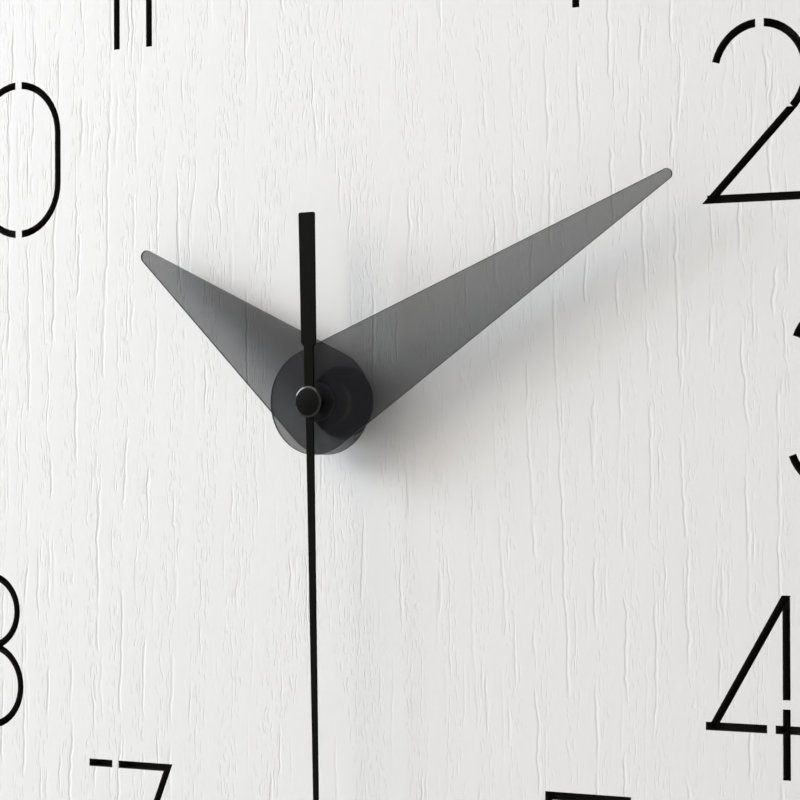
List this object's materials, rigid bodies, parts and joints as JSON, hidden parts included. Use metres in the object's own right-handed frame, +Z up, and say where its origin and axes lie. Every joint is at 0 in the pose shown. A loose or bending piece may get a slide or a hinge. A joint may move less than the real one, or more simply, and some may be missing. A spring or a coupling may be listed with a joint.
{
  "type": "wall clock",
  "caption": "Round wall clock: white wooden dial with stencil numerals cut through to a dark board, smoked hands, black second hand, and a battery movement with its gear train.",
  "frame": {"origin": "on the axis of the hands, in the plane of the wall that the pads rest on", "axes": "+X to the right of the dial as seen from the front, +Z up towards twelve, +Y into the wall, so the dial faces -Y"},
  "size_m": [0.3, 0.0423, 0.3],
  "materials": {
    "white_wood": "white paint over open grain",
    "frame_wood": "white paint over open grain",
    "black_board": "matte black",
    "raw_wood": "planed softwood",
    "felt": "felt",
    "zinc_steel": "zinc plated",
    "smoked_acrylic": "polished, smoked",
    "black_metal": "satin black",
    "black_plastic": "fine moulded texture",
    "train_plastic": "moulded",
    "motion_plastic": "moulded",
    "brass": "turned",
    "steel": "bright",
    "blackened_steel": "black oxide",
    "rubber": "moulded",
    "ferrite": "sintered",
    "lamination": "blanked",
    "copper": "enamelled wire",
    "board_resin": "solder mask",
    "cell_sleeve": "printed sleeve, bare"
  },
  "bodies": {
    "clock_body": {"front_panel": "white_wood", "backing_board": "black_board", "frame_ring": "frame_wood", "wall_pads": "felt", "hanger_block": "raw_wood", "keyhole_plate": "zinc_steel", "plate_screws": "zinc_steel", "movement_case": "black_plastic", "back_cover": "black_plastic", "train_bridge": "train_plastic", "bridge_screws": "steel", "threaded_bushing": "brass", "rubber_washer": "rubber", "nut_washer": "blackened_steel", "hex_nut": "blackened_steel", "stator": "lamination", "coil_core": "lamination", "coil_bobbin": "train_plastic", "coil_winding": "copper", "circuit_board": "board_resin", "control_chip": "black_plastic", "quartz_can": "steel", "battery_cell": "cell_sleeve", "positive_contact": "zinc_steel", "negative_contact": "zinc_steel"},
    "second_body": {"second_hand": "black_metal", "second_hand_cap": "black_metal", "second_hand_collet": "black_metal", "second_shaft": "steel", "seconds_wheel": "train_plastic"},
    "rotor_body": {"rotor_pinion": "train_plastic", "rotor_magnet": "ferrite"},
    "intermediate_body": {"intermediate_wheel": "train_plastic"},
    "third_body": {"third_wheel": "train_plastic"},
    "centre_body": {"centre_wheel": "train_plastic"},
    "minute_body": {"minute_hand": "smoked_acrylic", "minute_hand_bush": "black_metal", "cannon_pinion": "brass"},
    "motion_body": {"motion_wheel": "motion_plastic"},
    "hour_body": {"hour_hand": "smoked_acrylic", "hour_hand_bush": "black_metal", "hour_wheel": "motion_plastic"},
    "setting_body": {"setting_knob": "black_plastic", "setting_pinion": "motion_plastic"}
  },
  "joints": [
    {"name": "second_spin", "type": "hinge", "parent": "clock_body", "child": "second_body", "pos_m": [0, 0, 0], "axis": [0, 1, 0], "continuous": true},
    {"name": "intermediate_spin", "type": "hinge", "parent": "clock_body", "child": "intermediate_body", "pos_m": [0.00146, 0, 0.00827], "axis": [0, 1, 0], "continuous": true},
    {"name": "rotor_spin", "type": "hinge", "parent": "clock_body", "child": "rotor_body", "pos_m": [0.00083, 0, 0.01544], "axis": [0, 1, 0], "continuous": true},
    {"name": "third_spin", "type": "hinge", "parent": "clock_body", "child": "third_body", "pos_m": [-0.0108, 0, 0], "axis": [0, 1, 0], "continuous": true},
    {"name": "centre_spin", "type": "hinge", "parent": "clock_body", "child": "centre_body", "pos_m": [0, 0, 0], "axis": [0, 1, 0], "continuous": true},
    {"name": "minute_spin", "type": "hinge", "parent": "clock_body", "child": "minute_body", "pos_m": [0, 0, 0], "axis": [0, 1, 0], "continuous": true},
    {"name": "motion_spin", "type": "hinge", "parent": "clock_body", "child": "motion_body", "pos_m": [0.0096, 0, 0], "axis": [0, 1, 0], "continuous": true},
    {"name": "hour_spin", "type": "hinge", "parent": "clock_body", "child": "hour_body", "pos_m": [0, 0, 0], "axis": [0, 1, 0], "continuous": true},
    {"name": "setting_spin", "type": "hinge", "parent": "clock_body", "child": "setting_body", "pos_m": [0.01695, 0, 0.00617], "axis": [0, 1, 0], "continuous": true}
  ],
  "couplings": [
    {"joint": "intermediate_spin", "follows": "second_spin", "ratio": -6},
    {"joint": "rotor_spin", "follows": "second_spin", "ratio": 30},
    {"joint": "third_spin", "follows": "second_spin", "ratio": -0.125},
    {"joint": "centre_spin", "follows": "second_spin", "ratio": 0.016667},
    {"joint": "motion_spin", "follows": "minute_spin", "ratio": -0.33333},
    {"joint": "hour_spin", "follows": "minute_spin", "ratio": 0.083333},
    {"joint": "setting_spin", "follows": "minute_spin", "ratio": 1}
  ]
}
